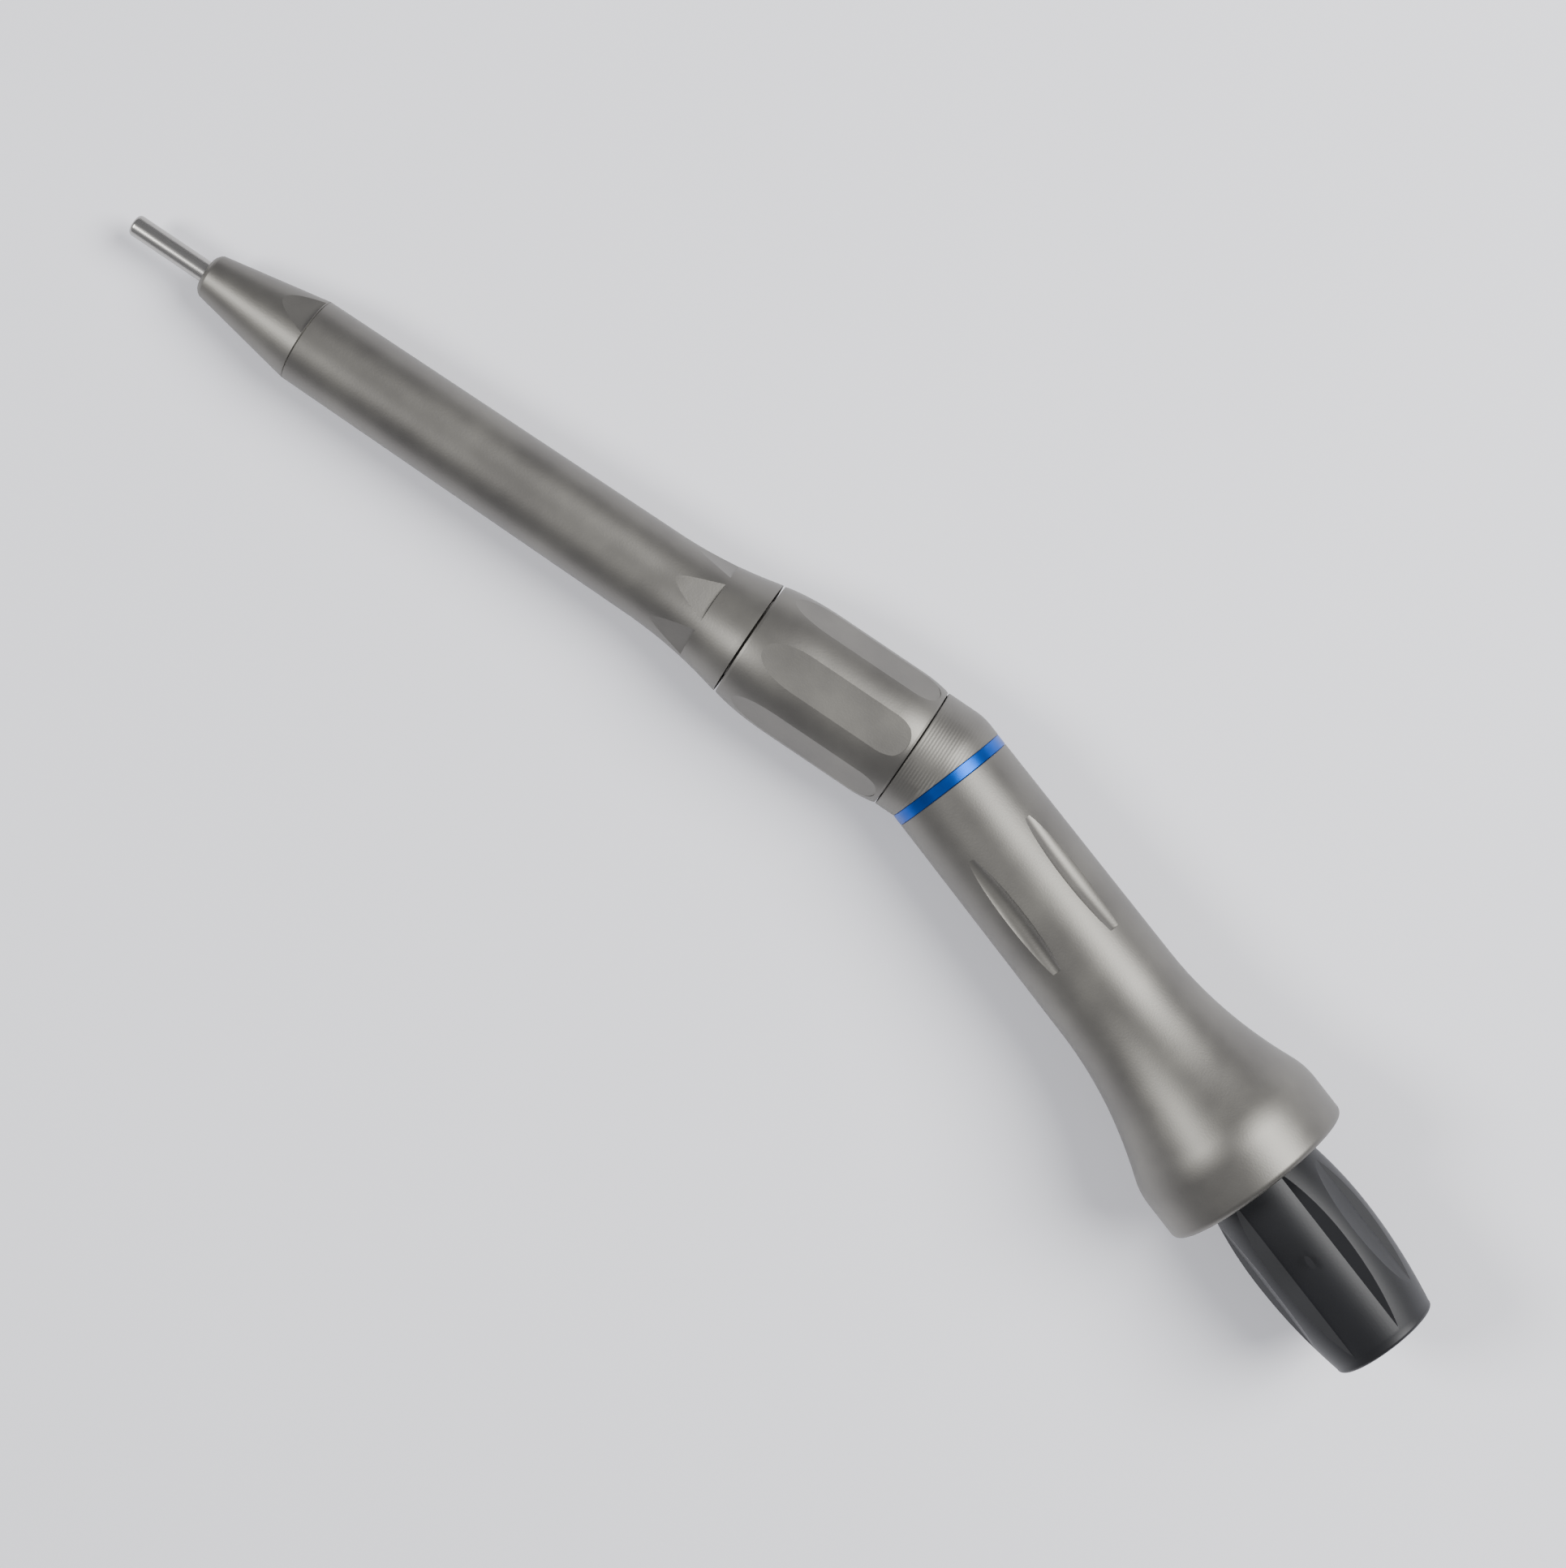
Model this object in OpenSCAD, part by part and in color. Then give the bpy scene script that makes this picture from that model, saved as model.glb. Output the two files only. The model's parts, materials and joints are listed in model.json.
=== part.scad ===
// Bent surgical handpiece with a twist-lock chuck, a test pin in the chuck
// and a transport cap in the motor socket. It lies on its side, as put down.
//
// Two axes meet at the bend. The front axis runs from the bend to the nose,
// the rear axis from the bend to the motor socket. Every sub-part is turned
// on one of them, along +X from the bend, and then carried to its place.

/* [Bend and rest] */
// Angle between the front axis and the straight-on rear axis
bend = 18; // [15:0.5:20]
// Where the bend stands from the middle of the footprint, along X
bend_x = -13.5; // [-15:0.1:-12]
// Where the bend stands from the middle of the footprint, along Y
bend_y = -10.8; // [-12:0.1:-9]

/* [Front tube and nose] */
// Distance from the bend to the face of the nose
nose_face = 91.3; // [88:0.1:95]
// Where the nose cone meets the front tube
nose_seam = 78.9; // [77.9:0.1:79.4]
// Radius of the nose face
nose_face_r = 1.9; // [1.8:0.05:2.2]
// Radius of the cone just behind the bevel of the nose face
nose_tip_r = 2.44; // [2.4:0.02:2.8]
// Radius of the front tube at the nose
tube_front_r = 4.66; // [4.6:0.02:4.8]
// Radius of the front tube where its flare starts
tube_rear_r = 5.0; // [4.95:0.01:5.1]
// Where the flare of the front tube starts
flare_start = 36; // [34:0.5:40]
// Radius at the wide end of the flare
flare_r = 6.55; // [6.4:0.05:6.6]
// Distance of the six spanner flats of the flare from the axis
flare_flat = 5.08; // [5.05:0.01:5.2]
// Turn of the spanner flats of the flare about the axis
flare_flat_turn = 9.5; // [-30:0.5:30]
// Distance of the two spanner flats of the nose from the axis
nose_flat = 3.95; // [3.9:0.01:4.2]
// Turn of the spanner flats of the nose about the axis
nose_flat_turn = 34; // [-90:1:90]

/* [Lock ring] */
// Rear end of the lock ring
ring_rear = 3.45; // [3.4:0.01:3.55]
// Front end of the lock ring
ring_front = 23.5; // [23.4:0.01:23.6]
// Largest radius of the lock ring
ring_r = 7.2; // [7.15:0.01:7.4]
// Distance of the six finger flats from the axis
ring_flat = 6.88; // [6.85:0.01:7]
// How far the lock ring turns to open the chuck
lock_turn = 40; // [30:1:45]
// How far the chuck moves forward to open
chuck_travel = 0.8; // [0.6:0.05:0.9]

/* [Bend housing and sheath] */
// Radius of the bend housing
elbow_r = 6.86; // [6.85:0.01:6.95]
// Front edge of the colour ring
colour_front = 1.15; // [1.12:0.01:1.2]
// Rear edge of the colour ring, where the sheath starts
sheath_front = 2.4; // [2.3:0.05:2.6]
// Radius of the sheath at the colour ring
sheath_r = 6.85; // [6.8:0.01:6.9]
// Where the bell of the sheath starts to open
bell_start = 29.5; // [28:0.5:31]
// Radius of the sheath where the bell starts
bell_neck_r = 7.04; // [7:0.01:7.2]
// Largest radius of the bell
bell_r = 10.85; // [10.6:0.05:11.2]
// Rear rim of the bell
bell_rim = 53.8; // [53:0.1:55]
// Turn of the four finger grooves about the rear axis
groove_turn = -0.5; // [-20:0.5:20]

/* [Motor socket] */
// Radius of the socket bore that holds the motor nose
socket_r = 6; // [5.9:0.05:6]
// Radius of the mouth behind the socket bore
mouth_r = 6.6; // [6.55:0.01:6.7]

/* [Transport cap] */
// Rear end of the cap
cap_end = 75.2; // [73:0.1:78]
// Largest radius of the cap
cap_r = 7.1; // [7:0.05:7.4]
// Where the cap is widest
cap_wide_at = 62.8; // [61:0.1:64]
// Turn of the cap about the rear axis
cap_turn = 13; // [-90:1:90]

/* [Test pin] */
// Radius of the pin, that of a straight handpiece shank
pin_r = 1.175; // [1.17:0.001:1.177]
// Front end of the pin
pin_tip = 100.5; // [96:0.5:104]

/* [Bearings] */
// Bore radius of every ball bearing
bearing_bore = 2.5; // [2.5:0.1:2.5]
// Outer radius of every ball bearing
bearing_r = 4; // [4:0.1:4]
// Width of every ball bearing
bearing_w = 2; // [2:0.1:2]
// Number of balls in a bearing
ball_count = 10; // [8:1:10]
// Radius of a ball
ball_r = 0.5; // [0.45:0.01:0.5]

/* [Gears] */
// Number of teeth on each of the two bend gears
gear_teeth = 16; // [16:1:16]
// Outer radius of the bend gears
gear_r = 3.75; // [3.6:0.05:3.75]
// Inner radius of the teeth
gear_tooth_in = 2.3; // [2.3:0.05:2.5]

/* [Hidden] */
$fn = 96;

// Small allowances
overcut = 1;            // how far a cutter runs past the face it cuts
reach = 40;             // size of a half-space cutter
steel = "silver";
satin = "darkgray";
race_steel = "lightsteelblue";

// Front axis stations, from the bend forwards
tube_back = ring_front + 0.25;
spigot_step = ring_front;
spigot_end = 31;
spigot_r = 5.6;
thread_r = 4.6;
gear_bore = bearing_r - 0.1;
bearing_seat = 4.6;
middle_seat = 46;
front_seat = 74.6;
seal_seat = front_seat + bearing_w;
stub_end = seal_seat + 0.6;
ring_bore = spigot_r + 0.05;
cam_r = 6.15;
cam_back = 8;
sleeve_back = 9.5;
sleeve_front = 18;
sleeve_r = bearing_r - 0.05;
release_at = 13;
release_pin_r = 0.6;
cross_pin_r = 0.5;
cross_pin_at = sleeve_front + 0.2 + cross_pin_r;
pin_play = 0.05;

// Spindle and chuck stations
spindle_r = bearing_bore;
spindle_bore = 1.7;
spindle_step = 79.5;
snout_r = 2.05;
snout_end = 88.4;
stop_back = 36;
stop_front = 37.5;
drawbar_r = 1;
drawbar_head_r = 1.6;
drawbar_back = 16.5;
drawbar_shoulder = 21;
collet_back = 60;
collet_r = spindle_bore - 0.04;
collet_front = 88.6;
pin_back = 66.3;

// Rear axis stations, from the bend rearwards
rear_spigot_end = 20;
liner_front = 24;
liner_back = 43.5;
liner_r = socket_r + 0.5;
drive_second_seat = 14.4;
washer_front = drive_second_seat + bearing_w;
nut_front = washer_front + 0.6;
nut_back = nut_front + 2;
shaft_shoulder = 17.9;
shaft_end = 23.4;
shaft_square = 2.4;
dog_front = 21;
dog_floor = 23.5;
dog_end = 27.5;
dog_r = 3;
stem_front = 44;
stem_back = 53.6;
stem_r = mouth_r - 0.2;

// O-ring section and its groove
cord_r = 0.42;
groove_floor = spigot_r - 0.86;
groove_w = 1;
seal_back = 5.2;
seal_front = 21.6;
sheath_seal_at = 8;
cap_seal_at = 47;

// Bell curve: a parabola, then an arc that is tangent to it and to the rim band
bell_k = 0.0116;
bell_turn = 46.2;
bell_slope = atan(2 * bell_k * (bell_turn - bell_start));
bell_turn_r = bell_neck_r + bell_k * pow(bell_turn - bell_start, 2);
bell_arc_r = (bell_r - bell_turn_r) / (1 - cos(bell_slope));
bell_band = bell_turn + bell_arc_r * sin(bell_slope);
rim_round = 0.8;

// Rest pose: the front tube's shoulder, a flat of the lock ring and the bell touch the ground
ring_touch = 21.8;
bell_touch = bell_band - bell_arc_r * sin(3.5);
tilt = atan((ring_flat - tube_front_r) / (nose_seam - ring_touch));
bend_height = ring_flat * cos(tilt) + ring_touch * sin(tilt);
bell_reach = norm([bell_touch, bell_r]);
rear_rise = atan2(bell_r, bell_touch) - asin(bend_height / bell_reach);
roll = asin((sin(rear_rise) - cos(bend) * sin(tilt)) / (sin(bend) * cos(tilt)));
// The lock ring lies on one of its flats
ring_turn = 2.5 - roll;

// Gear teeth
half_bend = bend / 2;
tooth_tip = 0.3;
tooth_root = 0.42;
tooth_half = 0.195;
flank = tan(20);
tooth_pitch = 360 / gear_teeth;

// ---------- places ----------

// Carries a sub-part of the front axis to where it lies
module front_axis() {
  translate([bend_x, bend_y, bend_height])
    rotate([roll, tilt, 0])
      children();
}

// Carries a sub-part of the rear axis to where it lies
module rear_axis() {
  front_axis()
    rotate([0, 0, 180 - bend])
      children();
}

// ---------- shapes ----------

// Turns an outline of [radius, station] points about the X axis
module turned(outline) {
  rotate([0, 90, 0])
    rotate_extrude()
      polygon(outline);
}

// A plain ring or tube along X
module ring(r_out, r_in, from, to) {
  turned([[r_in, from], [r_out, from], [r_out, to], [r_in, to]]);
}

// A plain rod along X
module rod(r, from, to) {
  translate([from, 0, 0])
    rotate([0, 90, 0])
      cylinder(r = r, h = to - from);
}

// A rod that stands out radially, turned by an angle about the X axis
module spoke(r, station, angle, from, to) {
  rotate([angle, 0, 0])
    translate([station, 0, from])
      cylinder(r = r, h = to - from, $fn = 32);
}

// A radial slot, long along X with round ends
module radial_slot(r, from_x, to_x, angle, from, to) {
  spoke(r, from_x, angle, from, to);
  spoke(r, to_x, angle, from, to);
  rotate([angle, 0, 0])
    translate([from_x, -r, from])
      cube([to_x - from_x, 2 * r, to - from]);
}

// An O-ring about the X axis
module o_ring(mean_r, station) {
  translate([station, 0, 0])
    rotate([0, 90, 0])
      rotate_extrude()
        translate([mean_r, 0])
          circle(r = cord_r, $fn = 24);
}

// A coil spring along X
module coil(mean_r, wire_r, from, to, turns, sides = 6, steps = 16) {
  rings = turns * steps;
  pitch = (to - from - 2 * wire_r) / turns;
  lean = atan(pitch / (2 * PI * mean_r));
  points = [
    for (i = [0 : rings], j = [0 : sides - 1])
      let (
        a = 360 * i / steps,
        b = 360 * j / sides,
        out = mean_r + wire_r * cos(b),
        up = wire_r * sin(b),
        x = from + wire_r + pitch * i / steps + up * cos(lean),
        swing = -up * sin(lean)
      )
      [x, out * cos(a) - swing * sin(a), out * sin(a) + swing * cos(a)]
  ];
  walls = [
    for (i = [0 : rings - 1], j = [0 : sides - 1])
      let (k = (j + 1) % sides)
      [i * sides + j, i * sides + k, (i + 1) * sides + k, (i + 1) * sides + j]
  ];
  first = [for (j = [sides - 1 : -1 : 0]) j];
  last = [for (j = [0 : sides - 1]) rings * sides + j];
  polyhedron(points = points, faces = concat([first], walls, [last]), convexity = 10);
}

// ---------- ball bearing ----------

ball_ring = (bearing_bore + bearing_r) / 2;
land_in = ball_ring - 0.25;
land_out = ball_ring + 0.25;
ball_play = 0.02;

module ball_track(station) {
  translate([station + bearing_w / 2, 0, 0])
    rotate([0, 90, 0])
      rotate_extrude()
        translate([ball_ring, 0])
          circle(r = ball_r + ball_play, $fn = 32);
}

module outer_race(station) {
  color(race_steel)
    difference() {
      ring(bearing_r, land_out, station, station + bearing_w);
      ball_track(station);
    }
}

module inner_race(station) {
  color(race_steel)
    difference() {
      ring(land_in, bearing_bore, station, station + bearing_w);
      ball_track(station);
    }
}

module ball_set(station, radius) {
  for (i = [0 : ball_count - 1])
    rotate([360 * i / ball_count, 0, 0])
      translate([station + bearing_w / 2, 0, ball_ring])
        sphere(r = radius, $fn = 32);
}

module balls(station) {
  color(steel)
    ball_set(station, ball_r);
}

cage_play = 0.06;
cage_w = 1.7;

module cage(station) {
  middle = station + bearing_w / 2;
  color("saddlebrown")
    difference() {
      ring(land_out - cage_play, land_in + cage_play, middle - cage_w / 2, middle + cage_w / 2);
      ball_set(station, ball_r + cage_play);
    }
}

// ---------- bend gears ----------

// One tooth, standing out towards the bend at the inside radius
module gear_tooth() {
  rotate([0, 0, -half_bend])
    translate([0, gear_tooth_in, 0])
      rotate([-90, 0, 0])
        linear_extrude(height = gear_r - gear_tooth_in)
          polygon([
            [-tooth_tip, -(tooth_half - tooth_tip * flank)],
            [-tooth_tip, tooth_half - tooth_tip * flank],
            [tooth_root + 0.2, tooth_half + tooth_root * flank],
            [tooth_root + 0.2, -(tooth_half + tooth_root * flank)]
          ]);
}

// A face gear whose teeth look towards the bend; start turns its first tooth
module bend_gear(start, stub_r) {
  boss_r = land_in;
  disc_back = 2.2;
  stub_back = bearing_seat + 3.4;
  turned([
    [0, tooth_root],
    [gear_r, tooth_root + gear_r * tan(half_bend)],
    [gear_r, disc_back],
    [boss_r, disc_back],
    [boss_r, bearing_seat],
    [stub_r, bearing_seat],
    [stub_r, stub_back],
    [0, stub_back]
  ]);
  intersection() {
    for (i = [0 : gear_teeth - 1])
      rotate([start + i * tooth_pitch, 0, 0])
        gear_tooth();
    rod(gear_r, -1, disc_back);
  }
}

// ---------- nose and front tube ----------

// Bore of the nose around the spindle, and its lip at the pin
nose_bore = 2.15;
nose_lip = 89.6;
nose_hole_r = 1.5;
stub_bore = 2.7;
nose_bevel = 0.55;
nose_flat_back = nose_seam + 0.15;

module nose_cone() {
  color(satin)
    difference() {
      turned([
        [stub_bore, stub_end],
        [bearing_r, stub_end],
        [bearing_r, nose_seam],
        [tube_front_r - 0.08, nose_seam],
        [tube_front_r, nose_seam + 0.1],
        [nose_tip_r, nose_face - nose_bevel],
        [nose_face_r, nose_face],
        [nose_hole_r + 0.1, nose_face],
        [nose_hole_r, nose_face - 0.1],
        [nose_hole_r, nose_lip],
        [nose_bore, nose_lip],
        [nose_bore, spindle_step + 0.4],
        [stub_bore, spindle_step + 0.4]
      ]);
      for (side = [0, 180])
        rotate([nose_flat_turn + side, 0, 0])
          translate([nose_flat_back, -nose_face_r * 4, nose_flat])
            cube([nose_face_r * 4, nose_face_r * 8, overcut * 2]);
    }
}

module nose_seal() {
  color("dimgray")
    ring(bearing_r, spindle_r + 0.1, seal_seat, stub_end);
}

flare_steps = 14;
flare_end = tube_back;

module front_tube() {
  flare = [
    for (i = [0 : flare_steps])
      let (t = i / flare_steps)
      [tube_rear_r + (flare_r - tube_rear_r) * t * t, flare_start + (flare_end - flare_start) * t]
  ];
  flat_shoulder = 28.6;
  circlip_groove = middle_seat - 0.8;
  color(satin)
    difference() {
      turned(concat(
        [
          [bearing_r, nose_seam],
          [tube_front_r - 0.08, nose_seam],
          [tube_front_r, nose_seam - 0.08]
        ],
        flare,
        [
          [thread_r, flare_end],
          [thread_r, spigot_end],
          [bearing_r, spigot_end],
          [bearing_r, circlip_groove],
          [bearing_r + 0.3, circlip_groove],
          [bearing_r + 0.3, middle_seat],
          [bearing_r, middle_seat]
        ]
      ));
      for (i = [0 : 5])
        rotate([flare_flat_turn + 60 * i, 0, 0])
          translate([flat_shoulder, -flare_r, flare_flat])
            cube([flare_start - flat_shoulder, 2 * flare_r, 2 * overcut]);
    }
}

module middle_circlip() {
  gap = 1.6;
  color(steel)
    difference() {
      ring(bearing_r + 0.25, land_out + 0.05, middle_seat - 0.75, middle_seat);
      translate([middle_seat - 1, -gap / 2, 0])
        cube([overcut + gap, gap, reach / 4]);
    }
}

module bearing_spacer_tube() {
  color("lightgray")
    ring(bearing_r, land_out + 0.1, middle_seat + bearing_w, front_seat);
}

// ---------- bend housing ----------

// How far the balls of the bend clear the line where the two arms meet
bend_touch = 0.03;

// A ball that takes in the corner of two crossing rods of a radius
module corner_ball(r) {
  rotate([0, 90, 0])
    sphere(r = r / cos(half_bend) + bend_touch, $fn = 96);
}

// The bend itself: a ball takes the corner between the two arms and ends at the colour ring
module bend_block() {
  difference() {
    union() {
      corner_ball(elbow_r);
      rod(elbow_r, 0, shoulder + overcut);
    }
    translate([shoulder, -reach / 2, -reach / 2])
      cube(reach);
    rotate([0, 0, 180 - bend])
      translate([colour_front, -reach / 2, -reach / 2])
        cube(reach);
  }
}

// A groove for an O-ring, cut into a spigot
module seal_groove(station) {
  ring(spigot_r + overcut, groove_floor, station - groove_w / 2, station + groove_w / 2);
}

// The detent sits in the outer side of the bend
detent_ring_r = 6.2;
detent_ball_r = 0.4;
detent_at = 3.2;
detent_depth = 2.6;
shoulder = ring_rear - 0.15;

module elbow_housing() {
  color(satin)
    difference() {
      union() {
        bend_block();
        rod(spigot_r, 0, spigot_step);
        rod(thread_r, spigot_step, spigot_end);
        rotate([0, 0, 180 - bend])
          rod(spigot_r, 0, rear_spigot_end);
      }
      corner_ball(gear_bore);
      rod(gear_bore, 0, bearing_seat + overcut);
      rod(bearing_r, bearing_seat, spigot_end + overcut);
      for (side = [0, 180])
        radial_slot(
          release_pin_r + pin_play, release_at, release_at + chuck_travel, side,
          gear_bore - overcut, spigot_r + overcut
        );
      seal_groove(seal_back);
      seal_groove(seal_front);
      translate([shoulder - detent_depth, -detent_ring_r, 0])
        rod(detent_ball_r + pin_play, 0, detent_depth + overcut);
      rotate([0, 0, 180 - bend]) {
        rod(gear_bore, 0, bearing_seat + overcut);
        rod(bearing_r, bearing_seat, rear_spigot_end + overcut);
        seal_groove(sheath_seal_at);
      }
    }
}

module detent_ball() {
  color(steel)
    translate([detent_at, -detent_ring_r, 0])
      sphere(r = detent_ball_r, $fn = 32);
}

module detent_spring() {
  wire = 0.08;
  floor_x = shoulder - detent_depth;
  color(steel)
    translate([0, -detent_ring_r, 0])
      coil(0.28, wire, floor_x, detent_at - detent_ball_r, 5, 6, 12);
}

module ring_seals() {
  color("black") {
    o_ring(spigot_r - cord_r + 0.02, seal_back);
    o_ring(spigot_r - cord_r + 0.02, seal_front);
  }
}

module rear_bearing_nut() {
  nut_from = bearing_seat + bearing_w;
  nut_w = 1.4;
  color(steel)
    difference() {
      ring(bearing_r, land_out - 0.2, nut_from, nut_from + nut_w);
      for (side = [0, 180])
        rotate([side + 90, 0, 0])
          translate([nut_from + nut_w / 2, -0.4, 0])
            cube([nut_w, 0.8, reach / 4]);
    }
}

// ---------- lock ring ----------

ring_nose_start = 16.5;
ring_tail_start = 6.6;
ring_tail_r = 6.86;
ring_steps = 10;
finger_flat_half = 2.2;

// The detent ball's track and its two rest pockets, in the rear face
module detent_track() {
  translate([detent_at, 0, 0])
    rotate([0, 90, 0])
      rotate_extrude()
        translate([detent_ring_r, 0])
          circle(r = detent_ball_r + pin_play, $fn = 24);
  for (stop = [0, lock_turn])
    rotate([-stop, 0, 0])
      translate([detent_at + pin_play, -detent_ring_r, 0])
        sphere(r = detent_ball_r + 2 * pin_play, $fn = 32);
}

module lock_ring() {
  nose = [
    for (i = [0 : ring_steps])
      let (t = i / ring_steps)
      [
        ring_r - (ring_r - flare_r) * pow(t, 2.4),
        ring_nose_start + (ring_front - ring_nose_start) * t
      ]
  ];
  tail = [
    for (i = [ring_steps : -1 : 0])
      let (t = i / ring_steps)
      [
        ring_r - (ring_r - ring_tail_r) * t * t,
        ring_tail_start - (ring_tail_start - ring_rear) * t
      ]
  ];
  color(satin)
    difference() {
      turned(concat(
        tail,
        nose,
        [
          [cam_r, ring_front],
          [cam_r, cam_back],
          [ring_bore, cam_back],
          [ring_bore, ring_rear]
        ]
      ));
      for (i = [0 : 5])
        radial_slot(
          finger_flat_half, ring_rear + 0.5 + finger_flat_half, ring_front - 0.8 - finger_flat_half,
          ring_turn + 60 * i, ring_flat, ring_r + overcut
        );
      detent_track();
    }
}

// The cam sleeve carries two slanted slots that push the release pins forwards
module cam_sleeve() {
  slot_steps = 10;
  color("goldenrod")
    difference() {
      ring(cam_r, ring_bore, cam_back, ring_front);
      for (side = [0, 180], i = [0 : slot_steps])
        let (t = i / slot_steps)
        spoke(
          release_pin_r + 2 * pin_play, release_at + chuck_travel * t, side - lock_turn * t,
          spigot_r - overcut, cam_r + overcut
        );
    }
}

// ---------- release ----------

module release_sleeve() {
  color("peru")
    difference() {
      ring(sleeve_r, spindle_r + 0.1, sleeve_back, sleeve_front);
      for (side = [0, 180])
        spoke(release_pin_r, release_at, side, 0, bearing_r + overcut);
    }
}

module release_pins() {
  color(steel)
    for (side = [0, 180])
      spoke(release_pin_r, release_at, side, spindle_r + 0.2, cam_r - 0.1);
}

// ---------- spindle and chuck ----------

module spindle() {
  gear_stub_end = bearing_seat;
  mouth_taper = 0.12;
  color(steel)
    difference() {
      turned([
        [spindle_bore, gear_stub_end],
        [spindle_r, gear_stub_end],
        [spindle_r, spindle_step],
        [snout_r, spindle_step],
        [snout_r, snout_end],
        [spindle_bore + mouth_taper, snout_end],
        [spindle_bore, snout_end - 2],
        [spindle_bore, stop_front],
        [drawbar_r + pin_play, stop_front],
        [drawbar_r + pin_play, stop_back],
        [spindle_bore, stop_back]
      ]);
      for (side = [90, 270])
        radial_slot(
          cross_pin_r + pin_play, cross_pin_at, cross_pin_at + chuck_travel, side,
          drawbar_r, spindle_r + overcut
        );
    }
}

module spindle_gear() {
  color(steel)
    bend_gear(90, spindle_bore);
}

module drawbar() {
  color("lightgray")
    difference() {
      turned([
        [0, drawbar_back],
        [drawbar_head_r, drawbar_back],
        [drawbar_head_r, drawbar_shoulder],
        [drawbar_r, drawbar_shoulder],
        [drawbar_r, collet_back],
        [drawbar_r - 0.2, collet_back],
        [drawbar_r - 0.2, collet_back + 4],
        [0, collet_back + 4]
      ]);
      spoke(cross_pin_r, cross_pin_at, 90, -reach / 4, reach / 4);
    }
}

module drawbar_pin() {
  half = 3.4;
  color(steel)
    spoke(cross_pin_r, cross_pin_at, 90, -half, half);
}

module collet() {
  jaw_back = 70;
  slit = 0.3;
  head = 0.1;
  color("gainsboro")
    difference() {
      turned([
        [0, collet_back],
        [collet_r, collet_back],
        [collet_r, collet_front - 2],
        [collet_r + head, collet_front],
        [0, collet_front]
      ]);
      rod(drawbar_r - 0.2, collet_back - overcut, collet_back + 4);
      rod(pin_r + 0.025, pin_back - 0.3 - chuck_travel, collet_front + overcut);
      for (i = [0 : 2])
        rotate([120 * i, 0, 0])
          translate([jaw_back, -slit / 2, 0])
            cube([collet_front - jaw_back + overcut, slit, 2 * spindle_r]);
    }
}

module chuck_spring() {
  color(steel)
    coil(1.35, 0.22, drawbar_shoulder + 0.02, stop_back - 0.02, 9);
}

module test_pin() {
  tip_bevel = 0.25;
  color("white")
    turned([
      [0, pin_back],
      [pin_r, pin_back],
      [pin_r, pin_tip - tip_bevel],
      [pin_r - tip_bevel, pin_tip],
      [0, pin_tip]
    ]);
}

// ---------- rear parts ----------

module colour_ring() {
  bevel = 0.06;
  color("royalblue")
    turned([
      [spigot_r, colour_front],
      [sheath_r - bevel, colour_front],
      [sheath_r, colour_front + bevel],
      [sheath_r, sheath_front - bevel],
      [sheath_r - bevel, sheath_front],
      [spigot_r, sheath_front]
    ]);
}

bell_steps = 16;
round_steps = 6;

// A finger groove: a thin lens with pointed ends, sunk into the sheath
module finger_groove() {
  groove_from = 9.5;
  groove_to = 23.9;
  groove_half = 0.95;
  half_length = (groove_to - groove_from) / 2;
  arc_r = (half_length * half_length + groove_half * groove_half) / (2 * groove_half);
  groove_bed = sheath_r - 0.35;
  translate([(groove_from + groove_to) / 2, 0, groove_bed])
    linear_extrude(height = 2 * overcut)
      intersection() {
        translate([0, arc_r - groove_half])
          circle(r = arc_r, $fn = 256);
        translate([0, groove_half - arc_r])
          circle(r = arc_r, $fn = 256);
      }
}

module grip_sheath() {
  bell = [
    for (i = [0 : bell_steps])
      let (q = bell_start + (bell_turn - bell_start) * i / bell_steps)
      [bell_neck_r + bell_k * pow(q - bell_start, 2), q]
  ];
  crown = [
    for (i = [1 : round_steps])
      let (a = bell_slope * (1 - i / round_steps))
      [bell_r - bell_arc_r * (1 - cos(a)), bell_band - bell_arc_r * sin(a)]
  ];
  rim = [
    for (i = [0 : round_steps])
      let (a = 90 * i / round_steps)
      [bell_r - rim_round * (1 - cos(a)), bell_rim - rim_round * (1 - sin(a))]
  ];
  lead_in_r = 8.4;
  lead_in = 50.4;
  bevel = 0.08;
  groove_spread = 32;
  color(satin)
    difference() {
      turned(concat(
        [
          [spigot_r, sheath_front],
          [sheath_r - bevel, sheath_front],
          [sheath_r, sheath_front + bevel]
        ],
        bell,
        crown,
        rim,
        [
          [lead_in_r, bell_rim],
          [mouth_r, lead_in],
          [mouth_r, liner_back],
          [liner_r, liner_back],
          [liner_r, liner_front],
          [spigot_r, liner_front]
        ]
      ));
      for (half = [0, 180], side = [-1, 1])
        rotate([groove_turn + half + side * groove_spread, 0, 0])
          finger_groove();
    }
}

module sheath_seal() {
  color("black")
    o_ring(spigot_r - cord_r - 0.01, sheath_seal_at);
}

module socket_liner() {
  floor_back = liner_front + 1;
  floor_r = 4.3;
  latch_from = 27;
  latch_to = 28.2;
  latch_r = socket_r + 0.25;
  color("gainsboro")
    turned([
      [floor_r, liner_front],
      [liner_r, liner_front],
      [liner_r, liner_back],
      [socket_r + 0.2, liner_back],
      [socket_r, liner_back - 0.3],
      [socket_r, latch_to],
      [latch_r, latch_to],
      [latch_r, latch_from],
      [socket_r, latch_from],
      [socket_r, floor_back],
      [floor_r, floor_back]
    ]);
}

// ---------- drive train of the rear axis ----------

drive_stub_r = 1.2;

module drive_gear() {
  color(steel)
    bend_gear(90 + tooth_pitch / 2, drive_stub_r);
}

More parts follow.
